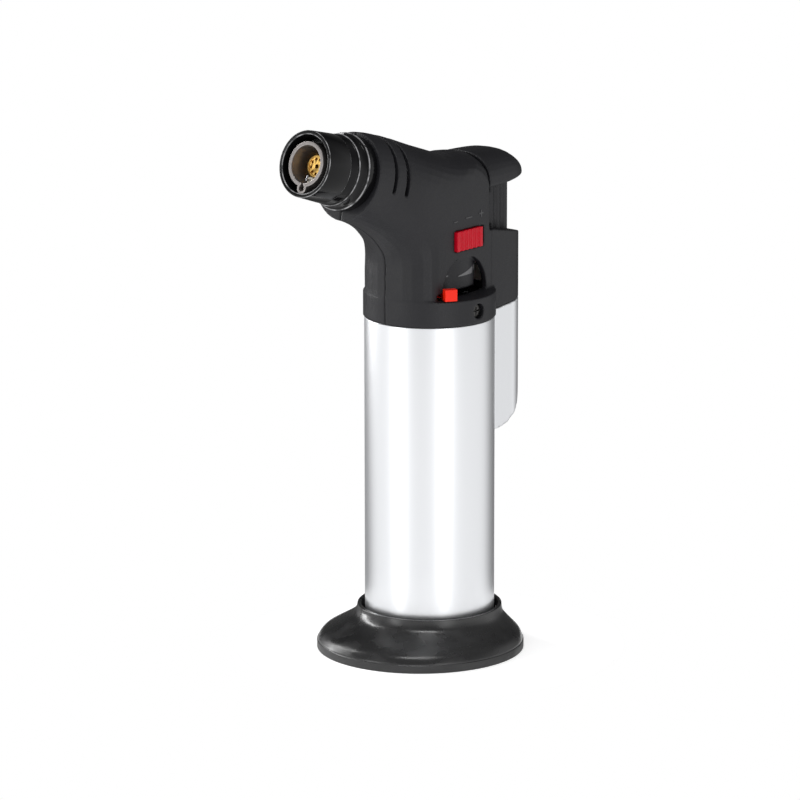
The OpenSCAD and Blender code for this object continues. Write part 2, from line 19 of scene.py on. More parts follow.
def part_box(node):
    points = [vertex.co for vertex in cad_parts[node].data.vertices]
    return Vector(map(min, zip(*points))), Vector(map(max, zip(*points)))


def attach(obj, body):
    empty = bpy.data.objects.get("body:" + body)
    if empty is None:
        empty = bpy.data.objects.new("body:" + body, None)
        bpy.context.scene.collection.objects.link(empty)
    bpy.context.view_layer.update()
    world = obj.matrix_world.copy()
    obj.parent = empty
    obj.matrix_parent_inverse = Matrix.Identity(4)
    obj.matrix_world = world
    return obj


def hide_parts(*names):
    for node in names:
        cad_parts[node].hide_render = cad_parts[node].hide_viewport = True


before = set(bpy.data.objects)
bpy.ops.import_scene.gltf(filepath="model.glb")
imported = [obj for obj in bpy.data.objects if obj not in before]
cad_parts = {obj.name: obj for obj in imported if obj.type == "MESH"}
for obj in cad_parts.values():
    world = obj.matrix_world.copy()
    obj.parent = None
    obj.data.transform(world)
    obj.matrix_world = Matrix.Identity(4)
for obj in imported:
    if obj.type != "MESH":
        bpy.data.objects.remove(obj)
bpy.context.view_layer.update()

MM = 0.001
LOG = logging.getLogger("torch")

Colour = tuple[float, float, float]
Outline = Sequence[tuple[float, float]]


# ---- Shader graphs ----


class Value:
    """A socket that carries something which varies over a surface."""

    def __init__(self, graph: "Graph", socket: bpy.types.NodeSocket) -> None:
        """Keeps the graph that new nodes go into, and the socket."""
        self.graph = graph
        self.socket = socket

    def _sum(self, operation: str, first: object, second: object) -> "Value":
        """Adds one Math node and returns its result."""
        return self.graph.value("ShaderNodeMath", {"operation": operation}, {0: first, 1: second})

    def __add__(self, other: object) -> "Value":
        """self + other."""
        return self._sum("ADD", self, other)

    __radd__ = __add__

    def __sub__(self, other: object) -> "Value":
        """self - other."""
        return self._sum("SUBTRACT", self, other)

    def __rsub__(self, other: object) -> "Value":
        """other - self."""
        return self._sum("SUBTRACT", other, self)

    def __mul__(self, other: object) -> "Value":
        """self * other."""
        return self._sum("MULTIPLY", self, other)

    __rmul__ = __mul__

    def __abs__(self) -> "Value":
        """The value without its sign."""
        return self._sum("ABSOLUTE", self, 0.0)


class Graph:
    """The nodes of one material or of the surroundings."""

    def __init__(self, owner: bpy.types.Material | bpy.types.World) -> None:
        """Starts with no nodes.

        Args:
            owner: what the nodes belong to.
        """
        owner.use_nodes = True
        self.tree = owner.node_tree
        self.tree.nodes.clear()

    def node(self, kind: str, settings: dict | None = None, inputs: dict | None = None) -> bpy.types.Node:
        """Adds a node.

        Args:
            kind: the node's type.
            settings: its own properties, set before its sockets.
            inputs: socket name or number to a value or a link.

        Returns:
            The node.
        """
        made = self.tree.nodes.new(kind)
        for key, setting in (settings or {}).items():
            setattr(made, key, setting)
        for key, given in (inputs or {}).items():
            socket = made.inputs[key]
            if isinstance(given, Value):
                self.tree.links.new(given.socket, socket)
            elif socket.type == "RGBA":
                socket.default_value = (*given, 1.0)
            else:
                socket.default_value = given
        return made

    def value(self, kind: str, settings: dict, inputs: dict, output: int | str = 0) -> Value:
        """Adds a node and wraps one of its outputs."""
        return Value(self, self.node(kind, settings, inputs).outputs[output])

    def place(self) -> Value:
        """The point on the piece, in metres."""
        return self.value("ShaderNodeTexCoord", {}, {}, "Object")

    def height(self) -> Value:
        """The point's Z, in metres."""
        return self.value("ShaderNodeSeparateXYZ", {}, {"Vector": self.place()}, "Z")

    def noise(self, size: float, detail: float = 2.0, stretch: Sequence[float] = (1, 1, 1)) -> Value:
        """Smooth random pattern from 0 to 1.

        Args:
            size: width of one blot, in millimetres.
            detail: octaves of finer pattern.
            stretch: how much longer a blot is along each axis.

        Returns:
            The pattern.
        """
        scale = [1 / (size * MM * s) for s in stretch]
        spot = self.value("ShaderNodeMapping", {}, {"Vector": self.place(), "Scale": scale})
        return self.value("ShaderNodeTexNoise", {}, {"Vector": spot, "Scale": 1.0, "Detail": detail})

    def ramp(self, value: Value, low: float, high: float) -> Value:
        """0 where value is under low, 1 where it is over high, straight between."""
        return self.value("ShaderNodeMapRange", {}, {"Value": value, "From Min": low, "From Max": high})

    def mixed(self, mask: Value, first: object, second: object) -> Value:
        """The first colour where the mask is 0, the second where it is 1."""
        socket = {0: mask, 6: first, 7: second}
        return self.value("ShaderNodeMix", {"data_type": "RGBA"}, socket, 2)

    def surface(self, inputs: dict, bump: Value | None = None, relief: float = 0.0) -> None:
        """Adds the shader and the output.

        Args:
            inputs: the shader's sockets.
            bump: pattern of the surface's relief.
            relief: height of that pattern, in millimetres.
        """
        if bump is not None:
            wired = {"Height": bump, "Distance": relief * MM, "Strength": 1.0}
            inputs = {**inputs, "Normal": self.value("ShaderNodeBump", {}, wired)}
        shader = self.node("ShaderNodeBsdfPrincipled", {}, inputs)
        out = self.node("ShaderNodeOutputMaterial")
        self.tree.links.new(shader.outputs[0], out.inputs[0])


def scaled(colour: Colour, share: float) -> Colour:
    """A darker or lighter version of a colour."""
    return tuple(min(c * share, 1.0) for c in colour)


# ---- Finishes ----


@dataclass(frozen=True)
class Finish:
    """What every finish has."""

    name: str
    colour: Colour
    roughness: float

    def build(self, graph: Graph) -> None:
        """Fills in the material's nodes."""
        raise NotImplementedError

    def material(self) -> bpy.types.Material:
        """The finish's material, made the first time it is asked for."""
        known = bpy.data.materials.get(self.name)
        if known is None:
            known = bpy.data.materials.new(self.name)
            self.build(Graph(known))
        return known


@dataclass(frozen=True)
class GrainedPlastic(Finish):
    """Moulded plastic with an eroded grain and slightly uneven gloss."""

    grain: float = 0.45
    relief: float = 0.035
    unevenness: float = 0.1
    shine: float = 0.5

    def build(self, graph: Graph) -> None:
        """Grain in the relief and the gloss, broad mottling in the colour."""
        grain = graph.noise(self.grain, 3.0)
        broad = graph.noise(14, 3.0)
        dust = graph.ramp(graph.noise(0.8, 1.0), 0.69, 0.76)
        base = graph.mixed(broad, scaled(self.colour, 0.8), scaled(self.colour, 1.25))
        colour = graph.mixed(dust * 0.25, base, scaled(self.colour, 2.2))
        gloss = self.roughness + (grain - 0.5) * self.unevenness + (broad - 0.5) * self.unevenness
        inputs = {"Base Color": colour, "Roughness": gloss, "Specular IOR Level": self.shine}
        graph.surface(inputs, grain, self.relief)


@dataclass(frozen=True)
class PolishedPlastic(Finish):
    """Polished moulding with faint flow marks and finger smears."""

    smear: float = 0.12
    flow: float = 0.012
    dull_below: float = -1.0
    shine: float = 0.4

    def build(self, graph: Graph) -> None:
        """Smears in the gloss, soft flow marks in the relief, and a duller foot if it has one."""
        smears = graph.ramp(graph.noise(9, 4.0, (1, 1, 0.5)), 0.42, 0.7)
        fine = graph.noise(0.5, 2.0)
        gloss = self.roughness + smears * self.smear + (fine - 0.5) * 0.03
        if self.dull_below > 0:
            low = 1 - graph.ramp(graph.height(), self.dull_below * MM, (self.dull_below + 0.1) * MM)
            gloss = gloss + low * 0.3
        colour = graph.mixed(smears, self.colour, scaled(self.colour, 1.5))
        inputs = {"Base Color": colour, "Roughness": gloss, "Specular IOR Level": self.shine}
        graph.surface(inputs, graph.noise(4, 2.0), self.flow)


@dataclass(frozen=True)
class GlintPaintedPlastic(PolishedPlastic):
    """Polished rings on a tilted axis, with painted highlights along their edges."""

    centre: Colour = (0, 0, 0)
    tilt: float = 0.0
    rims: tuple[float, ...] = ()
    # Colour of the painted highlight on the ring edges, not a colour the rings have.
    painted_glint_colour: Colour = (0.42, 0.42, 0.43)

    def build(self, graph: Graph) -> None:
        """Thin uneven bands of painted highlight at set distances along the axis, over the polished
        black.
        """
        turn = {"Location": Vector(self.centre) * MM, "Rotation": (0, math.radians(90 + self.tilt), 0)}
        kind = {"vector_type": "TEXTURE"}
        spot = graph.value("ShaderNodeMapping", kind, {"Vector": graph.place(), **turn})
        along = graph.value("ShaderNodeSeparateXYZ", {}, {"Vector": spot}, "Z")
        # Painted highlight: light grey bands on the ring edges stand in for lamp glints, broken up by
        # noise.
        glint_patchiness = 0.15 + graph.ramp(graph.noise(2.4, 3.0), 0.36, 0.62) * 0.85
        bands = 0.0
        for rim in self.rims:
            bands = bands + (1 - graph.ramp(abs(along - rim * MM), 0.06 * MM, 0.15 * MM))
        painted_glint = bands * glint_patchiness
        smears = graph.ramp(graph.noise(9, 4.0), 0.42, 0.7)
        gloss = self.roughness + smears * self.smear + painted_glint * 0.2
        colour = graph.mixed(painted_glint, self.colour, self.painted_glint_colour)
        inputs = {"Base Color": colour, "Roughness": gloss, "Specular IOR Level": self.shine}
        graph.surface(inputs, graph.noise(4, 2.0), self.flow)


class Brushing(Enum):
    """Which way a metal's fine lines run, as how much longer its grain is along X, Y and Z."""

    NONE = (1.0, 1.0, 1.0)
    ROUND = (14.0, 14.0, 1.0)
    ALONG = (1.0, 1.0, 30.0)


@dataclass(frozen=True)
class Metal(Finish):
    """Bare or anodised metal with fine lines and patches of tarnish."""

    brushing: Brushing = Brushing.NONE
    grain: float = 0.2
    relief: float = 0.003
    tarnish: Colour = (0.4, 0.4, 0.4)
    tarnished: float = 0.1

    def build(self, graph: Graph) -> None:
        """Lines in the relief and the gloss, tarnish in broad soft patches."""
        lines = graph.noise(self.grain, 3.0, self.brushing.value)
        patches = graph.ramp(graph.noise(7, 4.0), 0.45, 0.75)
        colour = graph.mixed(patches * self.tarnished, self.colour, self.tarnish)
        gloss = self.roughness + (lines - 0.5) * 0.14 + patches * self.tarnished * 0.3
        inputs = {"Base Color": colour, "Roughness": gloss, "Metallic": 1.0}
        graph.surface(inputs, lines, self.relief)


@dataclass(frozen=True)
class HeatedMetal(Finish):
    """Metal that the flame has coloured, scaled over in dark patches."""

    scorched: Colour = (0.05, 0.045, 0.045)

    def build(self, graph: Graph) -> None:
        """Scale in patches, with bare metal worn through it."""
        scale = graph.ramp(graph.noise(2.2, 5.0), 0.35, 0.7)
        fine = graph.noise(0.3, 3.0)
        colour = graph.mixed(scale * 0.75, self.colour, self.scorched)
        gloss = self.roughness + scale * 0.18 + (fine - 0.5) * 0.1
        metal = 1 - scale * 0.4
        graph.surface({"Base Color": colour, "Roughness": gloss, "Metallic": metal}, fine, 0.02)


@dataclass(frozen=True)
class Fibre(Finish):
    """Bonded fibre, drawn into strands."""

    def build(self, graph: Graph) -> None:
        """Long strands in the colour and the relief."""
        strands = graph.noise(0.2, 4.0, (1, 1, 16))
        colour = graph.mixed(strands, scaled(self.colour, 0.6), self.colour)
        graph.surface({"Base Color": colour, "Roughness": self.roughness}, strands, 0.05)


MATTE_BLACK = GrainedPlastic(
    "matte_black_moulding", (0.0105, 0.0105, 0.0128), 0.46, 0.38, 0.08, 0.22, shine=0.32
)
# Its rims carry painted highlights at the nose lip and the collar's ring edges.
GLOSS_BLACK = GlintPaintedPlastic(
    "gloss_black_moulding",
    (0.003, 0.003, 0.0035),
    0.08,
    0.08,
    0.006,
    shine=0.22,
    centre=(-55.3, 0, 158.5),
    tilt=16,
    rims=(0.3, 9.25, 12.72, 16.12),
)
FOOT_BLACK = PolishedPlastic(
    "foot_black_moulding", (0.012, 0.012, 0.0125), 0.24, 0.2, 0.05, 2.35, shine=0.65
)
SATIN_ALUMINIUM = Metal("satin_aluminium", (0.86, 0.865, 0.885), 0.3, Brushing.ROUND, 0.16)
CRIMSON = GrainedPlastic("crimson_moulding", (0.50, 0.0015, 0.014), 0.3, 0.6, 0.010, 0.08, 0.2)
RED_ORANGE = GrainedPlastic("red_orange_moulding", (0.90, 0.018, 0.004), 0.3, 0.6, 0.010, 0.08, 0.2)
# Pale grey on the raised dial marks: partly their pale print, partly a painted highlight for glints on
# their embossed edges.
PRINT_AND_PAINTED_GLINT = GrainedPlastic("pale_print_painted_glint", (0.13, 0.13, 0.135), 0.4, 0.3, 0.02)
SOFT_MARK = GrainedPlastic("raised_marks", (0.03, 0.03, 0.033), 0.32, 0.3, 0.02)
PALE = GrainedPlastic("pale_moulding", (0.74, 0.73, 0.68), 0.45, 0.7, 0.02)
CASE_BLACK = GrainedPlastic("igniter_case", (0.03, 0.03, 0.035), 0.4, 0.7, 0.02)
CERAMIC = GrainedPlastic("unglazed_ceramic", (0.82, 0.77, 0.66), 0.6, 0.25, 0.03)
SEAL_RUBBER = GrainedPlastic("seal_rubber", (0.02, 0.02, 0.02), 0.6, 0.4, 0.02)
HOSE_RUBBER = GrainedPlastic("hose_rubber", (0.45, 0.44, 0.40), 0.5, 0.9, 0.02)
LEAD_SKIN = GrainedPlastic("lead_insulation", (0.03, 0.03, 0.032), 0.45, 0.6, 0.02)
BRASS = Metal("turned_brass", (0.78, 0.56, 0.24), 0.25, Brushing.ALONG, tarnish=(0.4, 0.25, 0.1))
BURNER_BRASS = Metal(
    "warmed_brass", (0.93, 0.60, 0.17), 0.3, Brushing.NONE, 0.3, 0.006, (0.42, 0.2, 0.05), 0.35
)
BURNT_STEEL = HeatedMetal("burnt_steel", (0.078, 0.067, 0.064), 0.36)
SPRING_WIRE = Metal("spring_wire", (0.55, 0.55, 0.57), 0.25)
BARE_STEEL = Metal("bare_steel", (0.58, 0.59, 0.61), 0.32, Brushing.ALONG)
SCREW_STEEL = Metal("blacked_steel", (0.05, 0.05, 0.052), 0.3, tarnish=(0.2, 0.19, 0.17), tarnished=0.4)
WICK = Fibre("wick_fibre", (0.80, 0.77, 0.68), 0.85)


# ---- Hand tools for meshes ----


def take(piece: bpy.types.Object) -> None:
    """Selects one piece alone and makes it active."""
    bpy.ops.object.select_all(action="DESELECT")
    piece.select_set(True)
    bpy.context.view_layer.objects.active = piece


@contextmanager
def editing(piece: bpy.types.Object) -> Iterator[None]:
    """Edit mode on one piece, with all of it selected at the start."""
    take(piece)
    bpy.ops.object.mode_set(mode="EDIT")
    bpy.ops.mesh.select_all(action="SELECT")
    yield
    bpy.ops.object.mode_set(mode="OBJECT")


def started(name: str) -> bpy.types.Object:
    """The primitive that was just added, under its own name."""
    piece = bpy.context.view_layer.objects.active
    piece.name = name
    return piece


def modified(piece: bpy.types.Object, kind: str, **settings: object) -> None:
    """Adds a modifier, sets it and applies it."""
    take(piece)
    modifier = piece.modifiers.new(kind.lower(), kind)
    for key, setting in settings.items():
        setattr(modifier, key, setting)
    bpy.ops.object.modifier_apply(modifier=modifier.name)


def rounded(piece: bpy.types.Object, radius: float, steps: int = 3, over: float = 28) -> None:
    """Rounds every edge that is sharper than an angle, then shades the piece smooth.

    Args:
        piece: the piece.
        radius: width of the rounding, in millimetres.
        steps: faces across it.
        over: the angle, in degrees.
    """
    modified(
        piece,
        "BEVEL",
        width=radius * MM,
        segments=steps,
        limit_method="ANGLE",
        angle_limit=math.radians(over),
        use_clamp_overlap=True,
    )
    take(piece)
    bpy.ops.object.shade_smooth_by_angle(angle=math.radians(40))


def settled(piece: bpy.types.Object, matrix: Matrix) -> None:
    """Puts a piece in its place and leaves that place in its mesh."""
    piece.matrix_world = matrix
    take(piece)
    bpy.ops.object.transform_apply(location=True, rotation=True, scale=True)


def swept(name: str, rings: Sequence[tuple[float, float, float]], sides: int) -> bpy.types.Object:
    """A closed hollow form, pulled up ring by ring from one circle.

    Args:
        name: the piece's name.
        rings: [X of the centre, Z, radius] of each ring, in millimetres; the last leads to the first.
        sides: points round each ring.

    Returns:
        The piece.
    """
    bpy.ops.object.select_all(action="DESELECT")
    x, z, r = rings[0]
    bpy.ops.mesh.primitive_circle_add(vertices=sides, radius=r * MM, location=(x * MM, 0, z * MM))
    piece = started(name)
    take(piece)
    bpy.ops.object.transform_apply(location=True, rotation=True, scale=True)
    with editing(piece):
        for nx, nz, nr in [*rings[1:], rings[0]]:
            step = {"value": ((nx - x) * MM, 0, (nz - z) * MM)}
            bpy.ops.mesh.extrude_region_move(TRANSFORM_OT_translate=step)
            bpy.ops.transform.resize(
                value=(nr / r, nr / r, 1), center_override=(nx * MM, 0, nz * MM)
            )
            x, z, r = nx, nz, nr
        bpy.ops.mesh.select_all(action="SELECT")
        bpy.ops.mesh.remove_doubles(threshold=0.001 * MM)
        bpy.ops.mesh.normals_make_consistent(inside=False)
    return piece


def turned(name: str, outline: Outline, sides: int = 128) -> bpy.types.Object:
    """A turned ring about Z, from [Z, radius] points in millimetres."""
    return swept(name, [(0, z, r) for z, r in outline], sides)


def merged_copy(node: str, name: str) -> bpy.types.Object:
    """A copy of a CAD node's mesh with its loose triangles joined up.

    Args:
        node: the CAD node.
        name: the new piece's name.

    Returns:
        The piece.
    """
    piece = bpy.data.objects.new(name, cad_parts[node].data.copy())
    bpy.context.scene.collection.objects.link(piece)
    piece.data.materials.clear()
    with editing(piece):
        bpy.ops.mesh.customdata_custom_splitnormals_clear()
        bpy.ops.mesh.remove_doubles(threshold=0.001 * MM)
    return piece


def whole_copy(node: str, name: str) -> bpy.types.Object:
    """A CAD node's shape with its flat faces made whole.

    Args:
        node: the CAD node.
        name: the new piece's name.

    Returns:
        The piece.
    """
    piece = merged_copy(node, name)
    with editing(piece):
        bpy.ops.mesh.dissolve_limited(angle_limit=math.radians(0.4))
    return piece


def eased_copy(node: str, name: str, radius: float, steps: int = 2) -> bpy.types.Object:
    """A CAD node's shape with its edges rounded.

    Args:
        node: the CAD node.
        name: the new piece's name.
        radius: width of the rounding, in millimetres.
        steps: faces across it.

    Returns:
        The piece.
    """
    piece = whole_copy(node, name)
    rounded(piece, radius, steps)
    return piece


def moulded_copy(node: str, name: str, grain: float, passes: int) -> bpy.types.Object:
    """A CAD node's shape as one even skin with soft moulded edges.

    Args:
        node: the CAD node.
        name: the new piece's name.
        grain: width of one face, in millimetres.
        passes: how often the skin is eased; more gives softer edges.

    Returns:
        The piece.
    """
    piece = merged_copy(node, name)
    modified(piece, "REMESH", mode="VOXEL", voxel_size=grain * MM, use_smooth_shade=True)
    modified(piece, "SMOOTH", factor=0.5, iterations=passes)
    take(piece)
    bpy.ops.object.shade_smooth()
    return piece


def fitted(piece: bpy.types.Object, body: str, slot: str, finish: Finish, *nodes: str) -> None:
    """Finishes a piece and hands it to the frame.

    Args:
        piece: the piece, in its place.
        body: the CAD body that it moves with.
        slot: not used.
        finish: what it is dressed in.
        nodes: CAD nodes that it stands for.
    """
    piece.data.materials.clear()
    piece.data.materials.append(finish.material())
    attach(piece, body)
    if nodes:
        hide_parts(*nodes)
    piece.data.calc_loop_triangles()
    count = len(piece.data.loop_triangles)
    LOG.info("%s on %s: %d triangles, %s", piece.name, body, count, finish.name)


def dressed(node: str, finish: Finish) -> None:
    """Gives a CAD node that stays as it is a finish of its own."""
    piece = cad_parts[node]
    piece.data.materials.clear()
    piece.data.materials.append(finish.material())
    LOG.info("%s keeps its CAD shape, %s", node, finish.name)


# ---- Foot and tank ----


def flowing(points: Sequence[Sequence[float]], steps: int) -> list[tuple[float, ...]]:
    """More points on a smooth line through the given ones.

    Args:
        points: the line's own points, any number of values each.
        steps: new points from one to the next.

    Returns:
        The points, from the first to the last.
    """
    last = len(points) - 1
    line = []
    for i in range(last):
        a, b, c, d = (points[min(max(k, 0), last)] for k in (i - 1, i, i + 1, i + 2))
        for s in range(steps):
            u = s / steps
            line.append(
                tuple(
                    q + u / 2 * (r - p + u * (2 * p - 5 * q + 4 * r - t + u * (3 * q - p - 3 * r + t)))
                    for p, q, r, t in zip(a, b, c, d)
                )
            )
    return [*line, tuple(points[last])]


@dataclass
class Foot:
    """Slip-on foot: a flared moulding with a flat skirt and a thin collar round the tank."""

    radius: float = 32.0
    lead: float = 4.25
    collar: float = 22.3
    height: float = 13.0
    skirt: float = 2.4
    wall: float = 1.8

    def flare(self) -> list[tuple[float, ...]]:
        """[share of the way to the tank's axis, radius, height] from the skirt to the collar."""
        points = [
            (0.0, self.radius - 0.25, self.skirt + 0.15),
            (0.02, self.radius - 0.45, self.skirt + 0.8),
            (0.1, self.radius - 1.5, 4.8),
            (0.3, self.radius - 3.5, 6.2),
            (0.6, self.radius - 6.2, 7.9),
            (0.85, self.collar + 1.1, 9.8),
            (0.96, self.collar + 0.3, 11.4),
            (1.0, self.collar, self.height),
        ]
        return flowing(points, 5)

    def build(self) -> None:
        """Pulls the foot up from its resting ring and over into the seat."""
        outer = [(-self.lead * (1 - s), z, r) for s, r, z in self.flare()]
        hollow = [(x, z - self.wall, r - self.wall) for x, z, r in outer if r > 25]
        seat = [
            (0, self.height, 21.2),
            (0, 9, 21.2),
            (0, 9, 20.3),
            (0, 5, 20.3),
            (0, 5, 15),
            (0, 3, 15),
            (0, 3, 21),
            (0, 6.4, 21.1),
        ]
        edge = [
            (-self.lead, 0, self.radius - self.wall),
            (-self.lead, 0, self.radius),
            (-self.lead, self.skirt, self.radius),
        ]
        piece = swept("foot_moulding", [*edge, *outer, *seat, *reversed(hollow)], 144)
        rounded(piece, 0.18, 2, 35)
        fitted(piece, "foot", "gloss_black", FOOT_BLACK, "base_stand")


@dataclass
class Tank:
    """Aluminium sleeve, the cover of the igniter's lower end, and the tank inside."""

    radius: float = 20.0
    wall: float = 0.8
    lip: float = 3.0

    def build(self) -> None:
        """Builds the sleeve from the frame's heights and eases the cover's edges."""
        low, high = (corner.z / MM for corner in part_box("tank_sleeve"))
        inner = self.radius - self.wall
        outline = [
            (low, self.radius),
            (high, self.radius),
            (high, inner),
            (low + 1, inner),
            (low + 1, self.radius - self.lip),
            (low, self.radius - self.lip),
        ]
        sleeve = turned("aluminium_sleeve", outline, 192)
        rounded(sleeve, 0.3)
        fitted(sleeve, "torch", "satin_aluminium", SATIN_ALUMINIUM, "tank_sleeve")
        cover = moulded_copy("fin_cover", "igniter_cover", 0.35, 3)
        fitted(cover, "torch", "satin_aluminium", SATIN_ALUMINIUM, "fin_cover")
        for node, finish in {
            "fuel_tank": PALE,
            "tank_cap": PALE,
            "fill_valve_body": BRASS,
            "fill_valve_stem": BRASS,
            "fill_valve_spring": SPRING_WIRE,
            "fill_valve_seal": SEAL_RUBBER,
            "fuel_wick": WICK,
        }.items():
            dressed(node, finish)


# ---- Nozzle ----


@dataclass
class Nozzle:
    """Polished nose and collar, the flame tube inside them and the burner."""

    tilt: float = 16.0
    lip: float = 10.1
    reach: float = 55.3
    rise: float = 158.5

    def matrix(self) -> Matrix:
        """Puts a piece turned about +Z on the nozzle, its lip at the nozzle's lip."""
        centre = Vector((-self.reach, 0, self.rise)) * MM
        return Matrix.Translation(centre) @ Matrix.Rotation(math.radians(90 + self.tilt), 4, "Y")

    def nose(self) -> None:
        """Nose ring with a rolled lip and a deep bore round the flame tube."""
        lip = self.lip
        outline = [
            (0.5, 8.8),
            (0.12, lip - 0.95),
            (0.0, lip - 0.45),
            (0.15, lip - 0.12),
            (0.5, lip),
            (9.2, lip + 0.4),
            (9.7, lip - 0.1),
            (9.7, 8.9),
            (12, 8.9),
            (12, 6.95),
            (7, 6.95),
            (7, 8.8),
        ]
        piece = turned("nose_ring", outline)
        rounded(piece, 0.16)
        settled(piece, self.matrix())
        fitted(piece, "torch", "gloss_black", GLOSS_BLACK, "nozzle_shroud")

    def collar(self) -> None:
        """Stepped collar: two raised rings with a groove before and behind each."""
        outline = [
            (9.8, 8),
            (9.8, 10),
            (12.4, 10.3),
            (12.7, 10.9),
            (13.35, 10.9),
            (13.6, 10.4),
            (15.8, 10.9),
            (16.1, 11.8),
            (16.85, 11.8),
            (17.1, 11.2),
            (19.8, 11.5),
            (19.8, 10.2),
            (24, 10.2),
            (24, 8),
        ]
        piece = turned("collar_rings", outline)
        rounded(piece, 0.13, 2)
        settled(piece, self.matrix())
        fitted(piece, "torch", "gloss_black", GLOSS_BLACK, "nozzle_collar")

    def build(self) -> None:
        """Builds the nozzle from the lip inwards."""
        self.nose()
        self.collar()
        tube = eased_copy("flame_tube", "flame_tube_lip", 0.3, 3)
        fitted(tube, "torch", "burnt_steel", BURNT_STEEL, "flame_tube")
        burner = eased_copy("burner_head", "burner_disc", 0.09)
        fitted(burner, "torch", "burner_brass", BURNER_BRASS, "burner_head")
        insulator = eased_copy("electrode_insulator", "electrode_bead", 0.18)
        fitted(insulator, "torch", "ceramic", CERAMIC, "electrode_insulator")
        for node, finish in {
            "electrode_wire": SPRING_WIRE,
            "mixer_tube": BRASS,
            "gas_jet": BRASS,
            "gas_hose": HOSE_RUBBER,
        }.items():
            dressed(node, finish)


# ---- Head and controls ----


class Mark(Enum):
    """Raised marks on the head, as bars [length, height, turn in degrees]."""

    MINUS = ((2.2, 0.5, 0),)
    PLUS = ((2.2, 0.5, 0), (2.2, 0.5, 90))
    DASH = ((3.2, 0.45, 0),)
    STROKE = ((1.9, 0.4, 0),)


@dataclass
class Head:
    """Two moulded shells, their screws, and raised marks beside the controls."""

    taper: float = 0.08
    flat: float = 13.6
    mark_relief: float = 0.12
    drum: float = 13.45

    def on_flat(self, x: float, z: float) -> Matrix:
        """A place on the left flat, its +Z outwards and its +Y up."""
        point = Vector((x, -(self.flat - self.taper * x), z)) * MM
        turn = math.atan(self.taper)
        return (
            Matrix.Translation(point)
            @ Matrix.Rotation(turn, 4, "Z")
            @ Matrix.Rotation(math.radians(90), 4, "X")
        )

    def on_drum(self, angle: float, z: float) -> Matrix:
        """A place on the dial's drum at an angle from -Y towards +X."""
        return (
            Matrix.Rotation(math.radians(angle), 4, "Z")
            @ Matrix.Translation(Vector((0, -self.drum, z)) * MM)
            @ Matrix.Rotation(math.radians(90), 4, "X")
        )

    def mark(self, name: str, kind: Mark, place: Matrix, finish: Finish, scale: float = 1.0) -> None:
        """One raised mark.

        Args:
            name: the piece's name.
            kind: which mark.
            place: where it stands, with +Z outwards.
            finish: what it is dressed in.
            scale: its size, 1 as the mark is drawn.
        """
        bars = []
        for length, height, turn in kind.value:
            bpy.ops.object.select_all(action="DESELECT")
            bpy.ops.mesh.primitive_cube_add(size=1)
            bar = started(name)
            bar.scale = (length * scale * MM, height * scale * MM, 2 * self.mark_relief * MM)
            bar.rotation_euler.z = math.radians(turn)
            take(bar)
            bpy.ops.object.transform_apply(location=True, rotation=True, scale=True)
            bars.append(bar)
        piece = bars[0]
        if len(bars) > 1:
            modified(piece, "BOOLEAN", operation="UNION", object=bars[1])
            bpy.data.objects.remove(bars[1])
        rounded(piece, 0.06, 2)
        settled(piece, place)
        fitted(piece, "torch", "matte_black", finish)

    def wedge(self) -> None:
        """Raised wedge on the drum, from thin at the low-flame end to full."""
        bpy.ops.object.select_all(action="DESELECT")
        bpy.ops.mesh.primitive_grid_add(x_subdivisions=17, y_subdivisions=2, size=1)
        piece = started("dial_wedge")
        for point in piece.data.vertices:
            along = point.co.x + 0.5
            angle = math.radians(-8 + 34 * along)
            rise = 118.0 + (point.co.y + 0.5) * (0.25 + 1.9 * along)
            radius = self.drum + self.mark_relief
            point.co = Vector((radius * math.sin(angle), -radius * math.cos(angle), rise)) * MM
        modified(piece, "SOLIDIFY", thickness=2 * self.mark_relief * MM, offset=-1)
        with editing(piece):
            bpy.ops.mesh.normals_make_consistent(inside=False)
        rounded(piece, 0.05, 2)
        fitted(piece, "torch", "matte_black", PRINT_AND_PAINTED_GLINT)

    def build(self) -> None:
        """Builds the shells, the screws and the marks."""
        for side in ("left", "right"):
            node = f"head_shell_{side}"
            shell = moulded_copy(node, f"{side}_moulding", 0.33, 3)
            fitted(shell, "torch", "matte_black", MATTE_BLACK, node)
        screws = eased_copy("housing_screws", "cross_head_screws", 0.12)
        fitted(screws, "torch", "screw_steel", SCREW_STEEL, "housing_screws")
        self.mark("slider_dash", Mark.DASH, self.on_flat(3.0, 135.6), SOFT_MARK)
        self.mark("slider_stroke_front", Mark.STROKE, self.on_flat(-3.6, 135.2), SOFT_MARK)
        self.mark("slider_plus_rear", Mark.PLUS, self.on_flat(9.2, 136.0), SOFT_MARK)
        self.mark("dial_minus", Mark.MINUS, self.on_drum(-27, 118.6), PRINT_AND_PAINTED_GLINT, 0.8)
        self.mark("dial_plus", Mark.PLUS, self.on_drum(35, 119.3), PRINT_AND_PAINTED_GLINT, 0.8)
        self.wedge()


